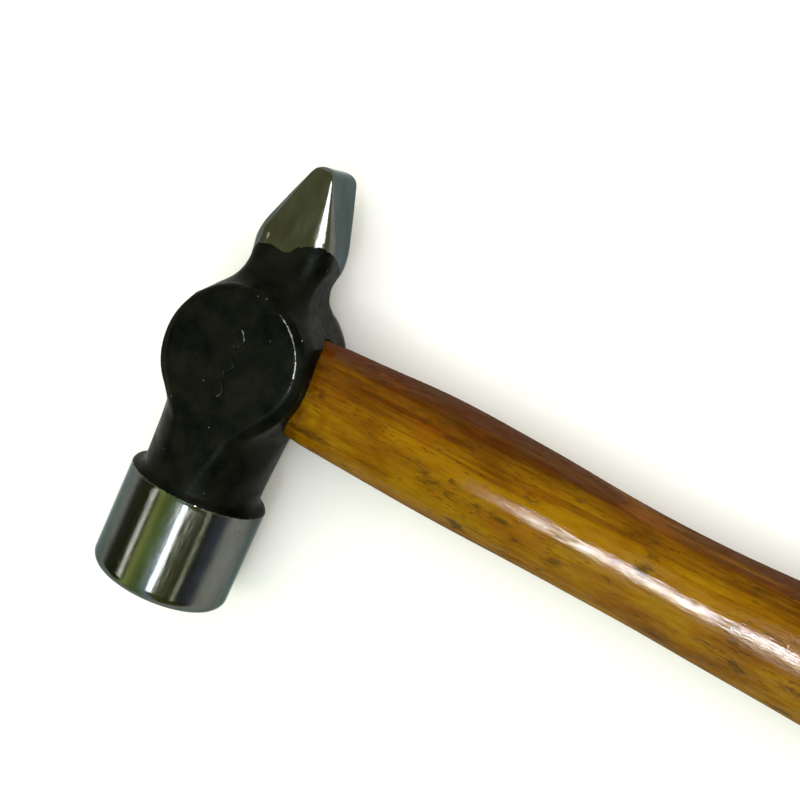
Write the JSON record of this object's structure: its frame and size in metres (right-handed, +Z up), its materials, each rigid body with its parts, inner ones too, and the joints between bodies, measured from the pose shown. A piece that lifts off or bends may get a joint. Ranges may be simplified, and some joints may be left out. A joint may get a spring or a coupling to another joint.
{
  "type": "cross peen hammer",
  "caption": "Cross peen hammer: black forged head with polished round face and polished wedge peen, on a varnished oval wooden handle wedged into the eye.",
  "frame": {"origin": "on the lower cheek's flat, straight under the middle of the eye", "axes": "+X along the handle to the butt, +Y along the head to the peen, +Z up and out of the upper cheek"},
  "size_m": [0.32, 0.1021, 0.032],
  "materials": {
    "forged_head": "black paint on forged steel, with the round face and the peen's wedge ground and polished bright",
    "varnished_wood": "amber, glossy varnish over long grain",
    "wedge_wood": "bare hardwood end grain",
    "wedge_steel": "dull rolled steel"
  },
  "bodies": {
    "root": {"hammer_head": "forged_head", "handle": "varnished_wood", "wood_wedge": "wedge_wood", "steel_wedge_face_side": "wedge_steel", "steel_wedge_peen_side": "wedge_steel"}
  },
  "joints": []
}
